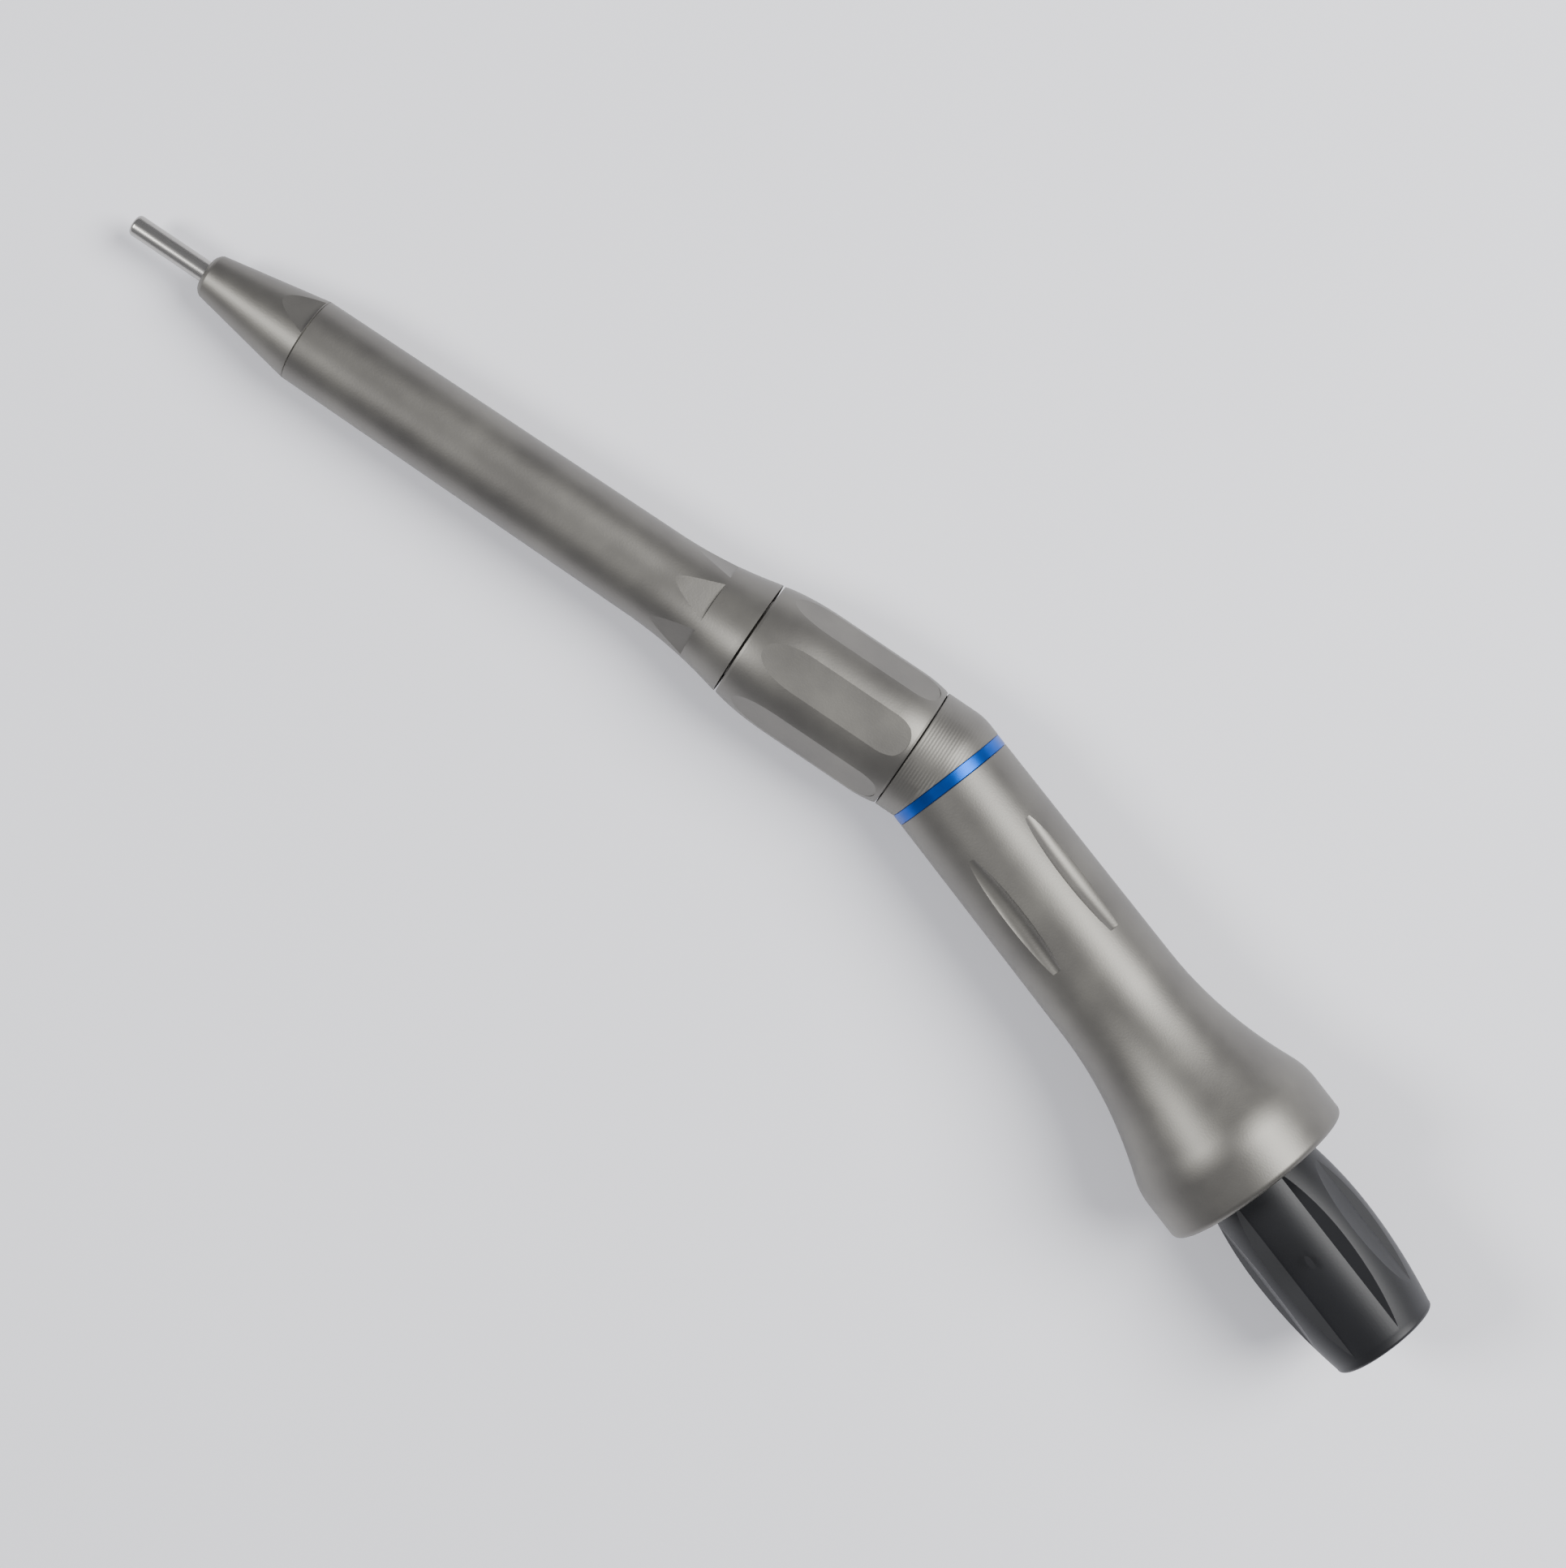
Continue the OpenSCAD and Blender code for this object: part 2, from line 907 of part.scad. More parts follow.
module drive_shaft() {
  color(steel)
    difference() {
      union() {
        rod(spindle_r, bearing_seat, shaft_shoulder);
        translate([shaft_shoulder, -shaft_square / 2, -shaft_square / 2])
          cube([shaft_end - shaft_shoulder, shaft_square, shaft_square]);
      }
      rod(drive_stub_r, bearing_seat - overcut, bearing_seat + 3.4);
      rod(0.6, shaft_shoulder + 0.5, shaft_end + overcut);
    }
}

module drive_inner_spacer() {
  color("lightgray")
    ring(land_in, bearing_bore, bearing_seat + bearing_w, drive_second_seat);
}

module drive_outer_spacer() {
  color("lightgray")
    ring(bearing_r, land_out + 0.1, bearing_seat + bearing_w, drive_second_seat);
}

module preload_washer() {
  color(steel)
    ring(bearing_r, land_out - 0.1, washer_front, nut_front);
}

module drive_bearing_nut() {
  color(steel)
    difference() {
      ring(bearing_r, land_out - 0.3, nut_front, nut_back);
      for (side = [0, 180])
        rotate([side, 0, 0])
          translate([nut_back - 0.8, -0.4, 0])
            cube([overcut, 0.8, reach / 4]);
    }
}

module drive_dog() {
  hole = shaft_square + 2 * pin_play;
  lug_in = 2;
  lug_gap = 3;
  color("gray")
    difference() {
      rod(dog_r, dog_front, dog_end);
      translate([dog_front - overcut, -hole / 2, -hole / 2])
        cube([dog_end - dog_front, hole, hole]);
      rod(lug_in, dog_floor, dog_end + overcut);
      translate([dog_floor, -dog_r - overcut, -lug_gap / 2])
        cube([dog_end - dog_floor + overcut, 2 * (dog_r + overcut), lug_gap]);
    }
}

module dog_screw() {
  head_back = dog_floor + 0.95;
  slot = 0.4;
  color(steel)
    difference() {
      union() {
        rod(0.6, shaft_shoulder + 0.5, shaft_end);
        rod(drive_stub_r, shaft_end, dog_floor + pin_play);
        rod(1.9, dog_floor + pin_play, head_back);
      }
      translate([head_back - slot, -dog_r, -slot / 2])
        cube([overcut, 2 * dog_r, slot]);
    }
}

module dog_spring() {
  color(steel)
    coil(2.05, 0.15, shaft_shoulder + 0.02, dog_front - 0.02, 4);
}

// ---------- transport cap ----------

cap_steps = 10;
cap_front_r = 6.23;
cap_end_r = 5.95;
cap_rise_from = 54.1;
cap_fall_to = 74.6;
cap_groove_r = stem_r - 0.75;

// Cross-section of the grip: a round core with four pads that rise past the barrel
module grip_section() {
  floor_r = 6.1;
  out = 9;
  function at(r, a) = [r * sin(a), r * cos(a)];
  circle(r = floor_r);
  for (flip_x = [0, 1], flip_y = [0, 1])
    mirror([flip_x, 0])
      mirror([0, flip_y])
        polygon([
          [0, 0],
          at(floor_r, 27),
          at(7.2, 38),
          at(7.25, 45),
          at(6.5, 72),
          at(7.25, 82),
          at(out, 90),
          at(out, 90.01)
        ]);
}

module cap_barrel() {
  rise = [
    for (i = [0 : cap_steps])
      let (t = 1 - i / cap_steps)
      [cap_r - (cap_r - cap_front_r) * t * t, cap_wide_at - (cap_wide_at - cap_rise_from) * t]
  ];
  fall = [
    for (i = [1 : cap_steps])
      let (t = i / cap_steps)
      [cap_r - (cap_r - cap_end_r) * t * t, cap_wide_at + (cap_fall_to - cap_wide_at) * t]
  ];
  turned(concat(
    [[0, stem_back], [cap_front_r - 0.1, stem_back], [cap_front_r, stem_back + 0.1]],
    rise,
    fall,
    [[cap_end_r - 0.15, cap_end - 0.25], [cap_end_r - 0.45, cap_end], [0, cap_end]]
  ));
}

module transport_cap() {
  color([0.05, 0.05, 0.06])
    rotate([cap_turn, 0, 0])
      union() {
        intersection() {
          cap_barrel();
          translate([stem_back - overcut, 0, 0])
            rotate([0, 90, 0])
              linear_extrude(height = cap_end - stem_back + 2 * overcut)
                rotate(90)
                  grip_section();
        }
        turned([
          [0, stem_front],
          [stem_r - 0.4, stem_front],
          [stem_r, stem_front + 0.6],
          [stem_r, cap_seal_at - groove_w / 2],
          [cap_groove_r, cap_seal_at - groove_w / 2],
          [cap_groove_r, cap_seal_at + groove_w / 2],
          [stem_r, cap_seal_at + groove_w / 2],
          [stem_r, stem_back - 0.5],
          [cap_front_r - 0.1, stem_back],
          [0, stem_back]
        ]);
      }
}

module cap_seal() {
  color("firebrick")
    o_ring(cap_groove_r + cord_r + 0.01, cap_seal_at);
}

// ---------- assembly ----------

front_axis() nose_cone();
front_axis() nose_seal();
front_axis() front_tube();
front_axis() elbow_housing();
rear_axis() colour_ring();
rear_axis() grip_sheath();
rear_axis() socket_liner();
front_axis() lock_ring();
front_axis() cam_sleeve();
front_axis() ring_seals();
rear_axis() sheath_seal();
front_axis() detent_ball();
front_axis() detent_spring();
front_axis() release_sleeve();
front_axis() release_pins();
front_axis() spindle();
front_axis() spindle_gear();
front_axis() collet();
front_axis() drawbar();
front_axis() drawbar_pin();
front_axis() chuck_spring();
front_axis() bearing_spacer_tube();
front_axis() middle_circlip();
front_axis() rear_bearing_nut();
front_axis() outer_race(front_seat);  // front_outer_race
front_axis() inner_race(front_seat);  // front_inner_race
front_axis() balls(front_seat);  // front_balls
front_axis() cage(front_seat);  // front_cage
front_axis() outer_race(middle_seat);  // middle_outer_race
front_axis() inner_race(middle_seat);  // middle_inner_race
front_axis() balls(middle_seat);  // middle_balls
front_axis() cage(middle_seat);  // middle_cage
front_axis() outer_race(bearing_seat);  // rear_outer_race
front_axis() inner_race(bearing_seat);  // rear_inner_race
front_axis() balls(bearing_seat);  // rear_balls
front_axis() cage(bearing_seat);  // rear_cage
rear_axis() drive_gear();
rear_axis() drive_shaft();
rear_axis() drive_inner_spacer();
rear_axis() drive_outer_spacer();
rear_axis() preload_washer();
rear_axis() drive_bearing_nut();
rear_axis() outer_race(bearing_seat);  // drive_front_outer_race
rear_axis() inner_race(bearing_seat);  // drive_front_inner_race
rear_axis() balls(bearing_seat);  // drive_front_balls
rear_axis() cage(bearing_seat);  // drive_front_cage
rear_axis() outer_race(drive_second_seat);  // drive_rear_outer_race
rear_axis() inner_race(drive_second_seat);  // drive_rear_inner_race
rear_axis() balls(drive_second_seat);  // drive_rear_balls
rear_axis() cage(drive_second_seat);  // drive_rear_cage
rear_axis() drive_dog();
rear_axis() dog_screw();
rear_axis() dog_spring();
front_axis() test_pin();
rear_axis() transport_cap();
rear_axis() cap_seal();
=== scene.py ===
import json
import math

import bmesh
import bpy
from mathutils import Matrix, Vector


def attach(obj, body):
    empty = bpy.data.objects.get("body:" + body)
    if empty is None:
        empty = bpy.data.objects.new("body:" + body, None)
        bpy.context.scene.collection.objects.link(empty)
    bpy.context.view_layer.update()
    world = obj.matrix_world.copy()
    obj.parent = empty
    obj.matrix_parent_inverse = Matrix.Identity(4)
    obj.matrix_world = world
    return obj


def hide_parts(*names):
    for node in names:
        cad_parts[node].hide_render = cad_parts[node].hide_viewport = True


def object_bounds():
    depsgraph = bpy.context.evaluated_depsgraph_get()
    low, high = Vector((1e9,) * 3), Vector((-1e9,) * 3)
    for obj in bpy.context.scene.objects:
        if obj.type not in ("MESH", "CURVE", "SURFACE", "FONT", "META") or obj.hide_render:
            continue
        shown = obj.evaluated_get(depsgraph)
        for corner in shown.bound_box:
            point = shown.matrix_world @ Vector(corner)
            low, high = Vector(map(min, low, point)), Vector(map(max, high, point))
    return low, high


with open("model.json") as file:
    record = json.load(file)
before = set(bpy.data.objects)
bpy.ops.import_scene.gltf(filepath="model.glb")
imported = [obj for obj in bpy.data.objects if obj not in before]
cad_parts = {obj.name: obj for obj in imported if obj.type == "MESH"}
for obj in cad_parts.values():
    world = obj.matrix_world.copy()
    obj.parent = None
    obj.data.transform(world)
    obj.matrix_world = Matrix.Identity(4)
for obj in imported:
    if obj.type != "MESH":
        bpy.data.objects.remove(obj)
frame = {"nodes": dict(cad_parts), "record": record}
cad_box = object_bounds()

MM = 0.001

# ---------- the two axes, from the joints of the frame ----------

joints = {joint["name"]: joint for joint in frame["record"]["behaviour"]["joints"]}
bend_point = Vector(joints["spindle_spin"]["pos_m"])
nose_way = Vector(joints["spindle_spin"]["axis"]).normalized()
motor_way = Vector(joints["cap_pull"]["axis"]).normalized()
bend_angle = math.pi - nose_way.angle(motor_way)


def axis_place(along, other):
    """Where a sub-part is put: its X runs along one axis, its Z stands on the bend's plane."""
    across = (other - along * other.dot(along)).normalized()
    up = along.cross(across)
    if up.z < 0:
        across, up = -across, -up
    turn = Matrix((along, across, up)).transposed().to_4x4()
    return Matrix.Translation(bend_point) @ turn


front = axis_place(nose_way, motor_way)
rear = axis_place(motor_way, nose_way)

# ---------- driving sizes, in millimetres ----------

ring_segments = 160         # steps round a turned part

nose_face = 91.3
nose_seam = 78.9
nose_face_r = 1.9
nose_tip_r = 2.44
nose_flat = 3.95
nose_flat_turn = 34
tube_front_r = 4.66
tube_rear_r = 5.0
tube_back = 23.75
flare_start = 36.0
flare_r = 6.55
flare_flat = 5.08
flare_flat_turn = 9.5
flare_shoulder = 28.6
bearing_r = 4.0
thread_r = 4.6
spigot_r = 5.6
spigot_end = 31.0
seal_slot = 1.0             # width of a seal's groove
seal_groove_r = spigot_r - 0.82
seal_at = 7.5
ring_seal_rear = 4.7
ring_seal_front = 21.1
nose_stub = 77.2
ring_rear = 3.45
ring_front = 23.5
ring_r = 7.2
ring_flat = 6.88
ring_tail_r = 6.86
ring_nose_start = 16.5
ring_tail_start = 6.6
ring_finger_half = 2.2
cam_r = 6.15
cam_back = 8.0
elbow_r = 6.86
shoulder = 3.3
colour_front = 1.15
sheath_front = 2.4
sheath_r = 6.85
bell_start = 29.5
bell_turn = 46.2
bell_neck_r = 7.04
bell_k = 0.0116
bell_r = 10.85
bell_rim = 53.8
rim_round = 0.8
mouth_r = 6.6
liner_r = 6.5
liner_front = 24.0
liner_back = 43.5
lead_in_r = 8.4
lead_in = 50.4
groove_turn = -0.5
groove_spread = 32.0
groove_front = 9.5
groove_back = 23.9
groove_half = 1.15
groove_deep = 0.42
cap_end = 75.2
cap_r = 7.1
cap_wide_at = 62.8
cap_turn = 13.0
pin_r = 1.175
pin_tip = 100.5
pin_back = 66.3


# ---------- node materials ----------

def linear(value):
    """One channel of an sRGB colour, from 0 to 1, as linear light."""
    return value / 12.92 if value <= 0.04045 else ((value + 0.055) / 1.055) ** 2.4


def colour(hex_value):
    """A colour such as "8f8c86" as linear RGBA."""
    return tuple(linear(int(hex_value[i:i + 2], 16) / 255) for i in (0, 2, 4)) + (1.0,)


def per(size_mm):
    """The scale of a pattern whose repeat is size_mm, where coordinates are in metres."""
    return 1.0 / (size_mm * MM)


def add(tree, kind, inputs=None, **settings):
    """Adds a node; an input is given a value, or is linked where a socket is given."""
    node = tree.nodes.new("ShaderNode" + kind)
    for name, value in settings.items():
        setattr(node, name, value)
    for name, value in (inputs or {}).items():
        if isinstance(value, bpy.types.NodeSocket):
            tree.links.new(value, node.inputs[name])
        else:
            node.inputs[name].default_value = value
    return node


def new_material(name, **shader_inputs):
    """A material with a Principled shader whose sockets are set."""
    material = bpy.data.materials.new(name)
    material.use_nodes = True
    tree = material.node_tree
    tree.nodes.clear()
    shader = add(tree, "BsdfPrincipled", shader_inputs)
    add(tree, "OutputMaterial", {"Surface": shader.outputs["BSDF"]})
    return material, tree, shader


def ramp(tree, factor, stops):
    """A colour ramp through (place, hex colour) stops."""
    node = add(tree, "ValToRGB", {"Fac": factor})
    band = node.color_ramp
    while len(band.elements) < len(stops):
        band.elements.new(0.5)
    for element, (place, hex_value) in zip(band.elements, stops):
        element.position = place
        element.color = colour(hex_value)
    return node.outputs["Color"]


def bands(size_mm):
    """The scale of a wave pattern whose bands lie size_mm apart."""
    return per(size_mm) * math.tau / 20


def spread(tree, factor, low, high):
    """A pattern's value from 0 to 1, brought between low and high."""
    return add(tree, "MapRange", {"Value": factor, "To Min": low, "To Max": high}).outputs["Result"]


def relief(tree, height, depth_mm, strength, normal=None):
    """Small relief of the surface, depth_mm high."""
    inputs = {"Height": height, "Distance": depth_mm * MM, "Strength": strength}
    if normal is not None:
        inputs["Normal"] = normal
    return add(tree, "Bump", inputs).outputs["Normal"]


def along(tree, axis):
    """Object coordinates turned so that their X runs along an axis of the handpiece."""
    turn = axis.to_3x3().inverted().to_euler()
    place = add(tree, "TexCoord").outputs["Object"]
    return add(tree, "Mapping", {"Vector": place, "Rotation": turn}).outputs["Vector"]


def blasted_steel(name="bead_blasted_stainless_steel", turned_marks=0.0):
    """Stainless steel, glass-bead blasted: a dull silver that spreads every highlight, with a
    fine grit and faint clouds where hands and the blast have worked it unevenly."""
    material, tree, shader = new_material(name, Metallic=1.0)
    place = along(tree, front)
    cloud = add(tree, "TexNoise", {"Vector": place, "Scale": per(7), "Detail": 4.0})
    # Beads of 0.1 mm leave dimples finer than the eye resolves; 0.22 mm is drawn so they show
    grit = add(tree, "TexNoise", {"Vector": place, "Scale": per(0.22), "Detail": 2.0})
    tint = ramp(tree, cloud.outputs["Fac"], [(0.3, "6f6d69"), (0.55, "787671"), (0.75, "807e78")])
    rough = spread(tree, cloud.outputs["Fac"], 0.42, 0.52)
    normal = relief(tree, grit.outputs["Fac"], 0.02, 0.35)
    if turned_marks:
        lathe = add(
            tree, "TexWave",
            {"Vector": place, "Scale": bands(turned_marks), "Distortion": 0.4, "Detail": 2.0,
             "Detail Scale": 6.0},
            bands_direction="X",
        )
        normal = relief(tree, lathe.outputs["Fac"], 0.015, 0.45, normal)
    tree.links.new(tint, shader.inputs["Base Color"])
    tree.links.new(rough, shader.inputs["Roughness"])
    tree.links.new(normal, shader.inputs["Normal"])
    return material


def polished_steel(name="polished_stainless_steel", base="a5a39f", low=0.22, high=0.32):
    """Steel, ground and finely polished: a clear shine, streaked by hairlines too fine to count."""
    material, tree, shader = new_material(name, Metallic=1.0)
    place = along(tree, front)
    long_grain = add(tree, "Mapping", {"Vector": place, "Scale": (0.08, 1.0, 1.0)}).outputs["Vector"]
    # Polishing hairlines of 0.05 mm, drawn 0.15 mm apart so that they show
    hairlines = add(tree, "TexNoise", {"Vector": long_grain, "Scale": per(0.15), "Detail": 2.0})
    shader.inputs["Base Color"].default_value = colour(base)
    rough = spread(tree, hairlines.outputs["Fac"], low, high)
    normal = relief(tree, hairlines.outputs["Fac"], 0.002, 0.2)
    tree.links.new(rough, shader.inputs["Roughness"])
    tree.links.new(normal, shader.inputs["Normal"])
    return material


def anodised_blue():
    """Aluminium, turned and dyed blue in the anodising bath: deep colour with a silky shine."""
    material, tree, shader = new_material(
        "blue_anodised_aluminium", Metallic=1.0, Roughness=0.3,
        **{"Coat Weight": 0.02, "Coat Roughness": 0.15},
    )
    place = along(tree, rear)
    cloud = add(tree, "TexNoise", {"Vector": place, "Scale": per(3), "Detail": 3.0})
    lathe = add(
        tree, "TexWave", {"Vector": place, "Scale": bands(0.15), "Distortion": 0.3},
        bands_direction="X",
    )
    tint = ramp(tree, cloud.outputs["Fac"], [(0.3, "10459c"), (0.7, "1457b8")])
    rough = spread(tree, cloud.outputs["Fac"], 0.28, 0.38)
    normal = relief(tree, lathe.outputs["Fac"], 0.003, 0.25)
    tree.links.new(tint, shader.inputs["Base Color"])
    tree.links.new(rough, shader.inputs["Roughness"])
    tree.links.new(normal, shader.inputs["Normal"])
    return material


def moulded_plastic(name, dark, light, low, high, grain_mm):
    """Injection-moulded plastic: an even colour, a soft shine and the faint spark-eroded
    grain of the mould."""
    material, tree, shader = new_material(name, IOR=1.5)
    place = add(tree, "TexCoord").outputs["Object"]
    cloud = add(tree, "TexNoise", {"Vector": place, "Scale": per(5), "Detail": 3.0})
    grain = add(tree, "TexNoise", {"Vector": place, "Scale": per(grain_mm), "Detail": 1.0})
    tint = ramp(tree, cloud.outputs["Fac"], [(0.3, dark), (0.7, light)])
    rough = spread(tree, cloud.outputs["Fac"], low, high)
    normal = relief(tree, grain.outputs["Fac"], 0.015, 0.25)
    tree.links.new(tint, shader.inputs["Base Color"])
    tree.links.new(rough, shader.inputs["Roughness"])
    tree.links.new(normal, shader.inputs["Normal"])
    return material


def bronze():
    """Tin bronze, turned: warm metal with fine tool rings and a dry, oiled dullness."""
    material, tree, shader = new_material("turned_tin_bronze", Metallic=1.0)
    place = add(tree, "TexCoord").outputs["Object"]
    cloud = add(tree, "TexNoise", {"Vector": place, "Scale": per(2.5), "Detail": 4.0})
    grain = add(tree, "TexNoise", {"Vector": place, "Scale": per(0.2), "Detail": 2.0})
    tint = ramp(tree, cloud.outputs["Fac"], [(0.3, "a5793c"), (0.7, "c0925a")])
    rough = spread(tree, cloud.outputs["Fac"], 0.28, 0.4)
    normal = relief(tree, grain.outputs["Fac"], 0.005, 0.3)
    tree.links.new(tint, shader.inputs["Base Color"])
    tree.links.new(rough, shader.inputs["Roughness"])
    tree.links.new(normal, shader.inputs["Normal"])
    return material


def cage_resin():
    """Cotton-filled phenolic resin, machined: brown, with the cloth's threads just showing."""
    material, tree, shader = new_material("cotton_phenolic_resin", IOR=1.55)
    place = add(tree, "TexCoord").outputs["Object"]
    # Threads of a 0.25 mm cloth, drawn at their size
    warp = add(tree, "TexWave", {"Vector": place, "Scale": bands(0.25)}, bands_direction="X")
    weft = add(tree, "TexWave", {"Vector": place, "Scale": bands(0.25)}, bands_direction="Y")
    cloth = add(tree, "Math", {0: warp.outputs["Fac"], 1: weft.outputs["Fac"]}, operation="MULTIPLY")
    tint = ramp(tree, cloth.outputs["Value"], [(0.0, "5d3a1c"), (1.0, "8a5c30")])
    rough = spread(tree, cloth.outputs["Value"], 0.4, 0.6)
    tree.links.new(tint, shader.inputs["Base Color"])
    tree.links.new(rough, shader.inputs["Roughness"])
    return material


def rubber(name, dark, light):
    """Moulded elastomer, lightly greased: matt, with a soft sheen on its crown."""
    material, tree, shader = new_material(name, IOR=1.52)
    place = add(tree, "TexCoord").outputs["Object"]
    cloud = add(tree, "TexNoise", {"Vector": place, "Scale": per(1.5), "Detail": 3.0})
    tint = ramp(tree, cloud.outputs["Fac"], [(0.3, dark), (0.7, light)])
    rough = spread(tree, cloud.outputs["Fac"], 0.45, 0.65)
    normal = relief(tree, cloud.outputs["Fac"], 0.01, 0.2)
    tree.links.new(tint, shader.inputs["Base Color"])
    tree.links.new(rough, shader.inputs["Roughness"])
    tree.links.new(normal, shader.inputs["Normal"])
    return material


satin = blasted_steel()
satin_turned = blasted_steel("bead_blasted_stainless_steel_over_turning", 0.35)
polished = polished_steel()
ground = polished_steel("ground_bearing_steel", "bdbcba", 0.12, 0.22)
wire_steel = polished_steel("drawn_spring_steel", "a9a8a6", 0.2, 0.32)
hardened = polished_steel("hardened_gear_steel", "96928c", 0.25, 0.38)
blue = anodised_blue()
black = moulded_plastic("moulded_black_polyamide", "08090c", "0d0e12", 0.44, 0.52, 0.3)
bronze_metal = bronze()
resin = cage_resin()
nitrile = rubber("black_nitrile_rubber", "131313", "1c1c1c")
silicone = rubber("red_silicone_rubber", "7a1f16", "8f2a1e")


# ---------- meshes ----------

def finish_mesh(piece, material, sharp_degrees):
    """Smooth shading with crisp edges where faces meet at more than sharp_degrees."""
    mesh = piece.data
    work = bmesh.new()
    work.from_mesh(mesh)
    bmesh.ops.remove_doubles(work, verts=work.verts, dist=0.0005 * MM)
    bmesh.ops.recalc_face_normals(work, faces=work.faces)
    for edge in work.edges:
        edge.smooth = not edge.is_manifold or edge.calc_face_angle(0) < math.radians(sharp_degrees)
    for face in work.faces:
        face.smooth = True
    work.to_mesh(mesh)
    work.free()
    mesh.materials.clear()
    mesh.materials.append(material)


def skin(name, rows):
    """A closed surface through rows of points in mm; a row of one point closes an end."""
    work = bmesh.new()
    rows = [[work.verts.new(Vector(point) * MM) for point in row] for row in rows]
    count = max(len(row) for row in rows)
    for row, following in zip(rows, rows[1:] + rows[:1]):
        if len(row) == 1 and len(following) == 1:
            continue
        for i in range(count):
            j = i + 1
            corners = (row[i % len(row)], row[j % len(row)],
                       following[j % len(following)], following[i % len(following)])
            work.faces.new(dict.fromkeys(corners))
    bmesh.ops.remove_doubles(work, verts=work.verts, dist=0.0005 * MM)
    bmesh.ops.recalc_face_normals(work, faces=work.faces)
    mesh = bpy.data.meshes.new(name)
    work.to_mesh(mesh)
    work.free()
    piece = bpy.data.objects.new(name, mesh)
    bpy.context.scene.collection.objects.link(piece)
    return piece


def circle(radius, station, segments):
    """A row of points round X; a radius of nought is the one point on the axis."""
    if radius == 0:
        return [(station, 0, 0)]
    turns = [math.tau * i / segments for i in range(segments)]
    return [(station, radius * math.cos(a), radius * math.sin(a)) for a in turns]


def turned_mesh(name, outline, segments=ring_segments):
    """A closed outline of (radius, station) points, in mm, turned about X."""
    return skin(name, [circle(radius, station, segments) for radius, station in outline])


def bent(row, angle):
    """Points turned about Z from the front arm of the bend towards the rear arm."""
    turn = Matrix.Rotation(-angle, 3, "Z")
    return [turn @ Vector(point) for point in row]


def rear_row(radius, station):
    """A row round the rear arm, told in the axes of the front arm."""
    return bent(circle(radius, -station, ring_segments), bend_angle)


def corner_rows(radius, steps=16):
    """Rows through the bend: a ball on its outer side, a crease on its inner side."""
    half = bend_angle / 2
    stretch = Vector((1 / math.cos(half), 1 / math.cos(half), 1))
    rows = []
    for step in range(steps + 1):
        flat_row = circle(radius, 0, ring_segments)
        swept = bent(flat_row, bend_angle * step / steps)
        crease = bent(flat_row, half)
        rows.append([
            crease_point * stretch if point[1] > 0 else swept_point
            for swept_point, crease_point, point in zip(swept, crease, flat_row)
        ])
    return rows


def prism(outline, low, high, place):
    """A cutter: an outline of (x, y) points in mm, raised from low to high along Z."""
    work = bmesh.new()
    bottom = [work.verts.new((x * MM, y * MM, low * MM)) for x, y in outline]
    top = [work.verts.new((x * MM, y * MM, high * MM)) for x, y in outline]
    work.faces.new(bottom[::-1])
    work.faces.new(top)
    for i in range(len(outline)):
        j = (i + 1) % len(outline)
        work.faces.new((bottom[i], bottom[j], top[j], top[i]))
    bmesh.ops.recalc_face_normals(work, faces=work.faces)
    work.transform(place)
    mesh = bpy.data.meshes.new("cutter")
    work.to_mesh(mesh)
    work.free()
    cutter = bpy.data.objects.new("cutter", mesh)
    bpy.context.scene.collection.objects.link(cutter)
    return cutter


def join_cutters(cutters):
    """Several cutters that don't touch, as one object."""
    work = bmesh.new()
    for cutter in cutters:
        work.from_mesh(cutter.data)
        bpy.data.objects.remove(cutter)
    mesh = bpy.data.meshes.new("cutter")
    work.to_mesh(mesh)
    work.free()
    joined = bpy.data.objects.new("cutter", mesh)
    bpy.context.scene.collection.objects.link(joined)
    return joined


def carve(piece, cutters, operation="DIFFERENCE"):
    """Cuts the piece with the cutters and applies the result to its mesh."""
    cutter = join_cutters(cutters)
    modifier = piece.modifiers.new("cut", "BOOLEAN")
    modifier.object = cutter
    modifier.operation = operation
    modifier.solver = "EXACT"
    bpy.context.view_layer.update()
    result = piece.evaluated_get(bpy.context.evaluated_depsgraph_get())
    carved = bpy.data.meshes.new_from_object(result)
    piece.modifiers.clear()
    piece.data = carved
    bpy.data.objects.remove(cutter)


def turn_x(degrees):
    """A turn about the X axis."""
    return Matrix.Rotation(math.radians(degrees), 4, "X")


def mount(piece, place, body, material_slot, *nodes):
    """Puts a piece in place on its body, in the stead of the CAD nodes it stands for."""
    piece.data.transform(place)
    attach(piece, body)
    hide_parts(*nodes)
    return piece


def curve(count, rule):
    """Points from a rule of t, which runs from 0 to 1 in count steps."""
    return [rule(i / count) for i in range(count + 1)]


def quarter_round(count, radius, station, size):
    """The rounding of an outer edge: from its side towards its end."""
    return curve(count, lambda t: (
        radius - size * (1 - math.cos(t * math.pi / 2)),
        station - size * (1 - math.sin(t * math.pi / 2)),
    ))


# ---------- front axis ----------

